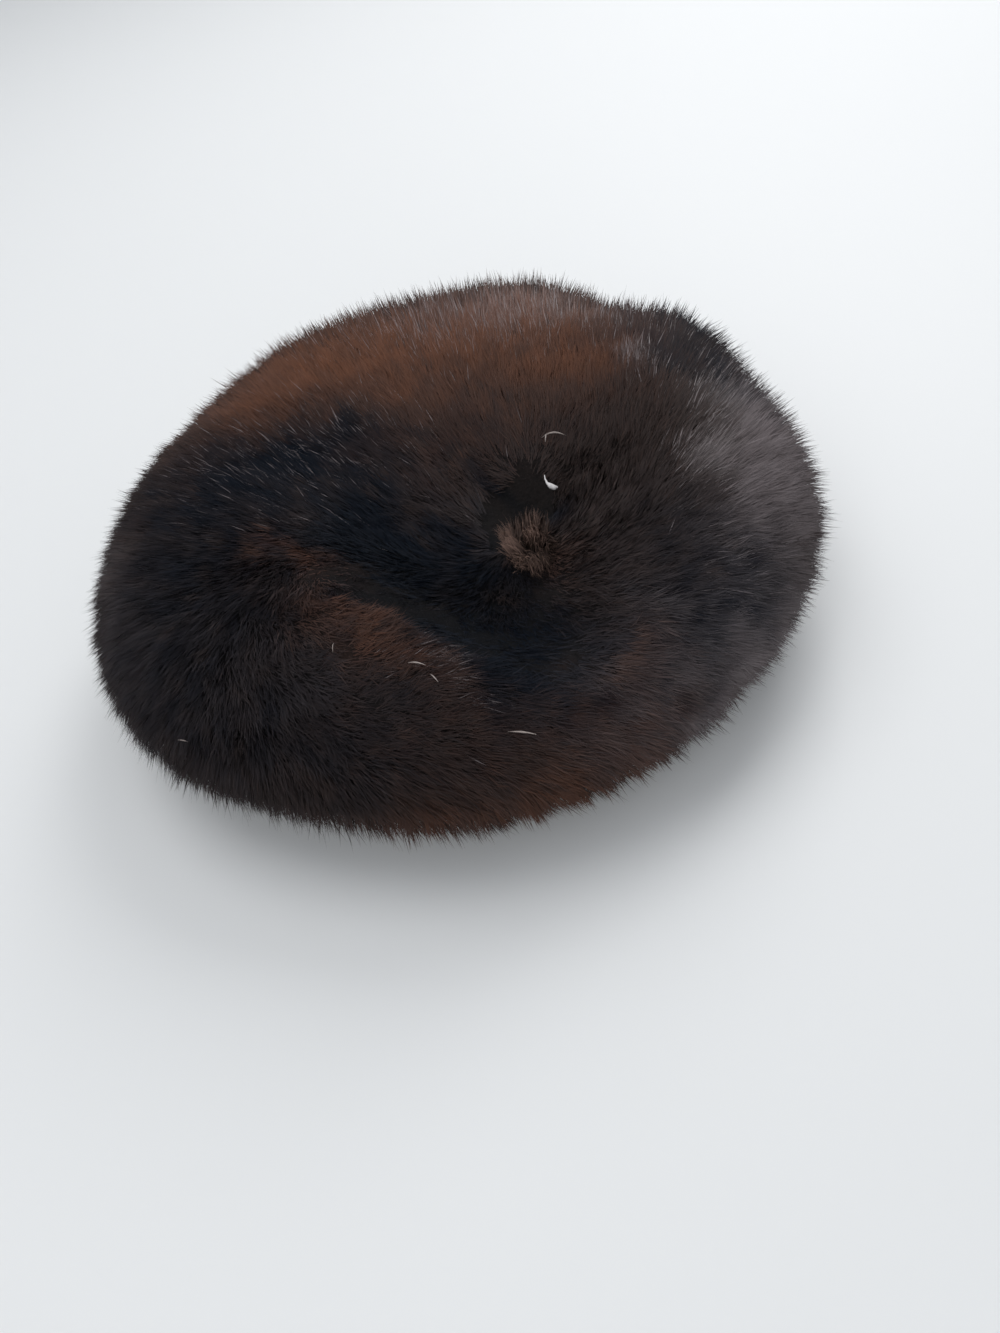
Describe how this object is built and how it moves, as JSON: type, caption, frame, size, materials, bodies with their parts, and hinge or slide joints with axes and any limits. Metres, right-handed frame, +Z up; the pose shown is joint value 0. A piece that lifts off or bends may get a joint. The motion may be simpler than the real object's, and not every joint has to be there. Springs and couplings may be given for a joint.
{
  "type": "fur beret",
  "caption": "Slouched round beret of dark brown mink-like fur over thin hide, gathered off centre on the crown, with a full rim turned under to an open head hole.",
  "frame": {"origin": "middle of the hat's box, on the surface that it rests on", "axes": "+Z up, +X across the hat and to the right as seen from its front, -Y towards the front, where the crown is gathered"},
  "size_m": [0.2838, 0.277, 0.0916],
  "materials": {
    "crown_fur": "dense glossy guard hairs over soft underfur, dark brown with near black and reddish brown patches",
    "underside_fur": "dense glossy guard hairs, darker brown, combed out from the head opening",
    "hide": "matt dressed skin, pale buff",
    "underfur": "soft matt underfur, pale brown"
  },
  "bodies": {
    "root": {"crown_fur": "crown_fur", "underside_fur": "underside_fur", "crown_hide": "hide", "underside_hide": "hide", "crown_tuft": "underfur"}
  },
  "joints": []
}
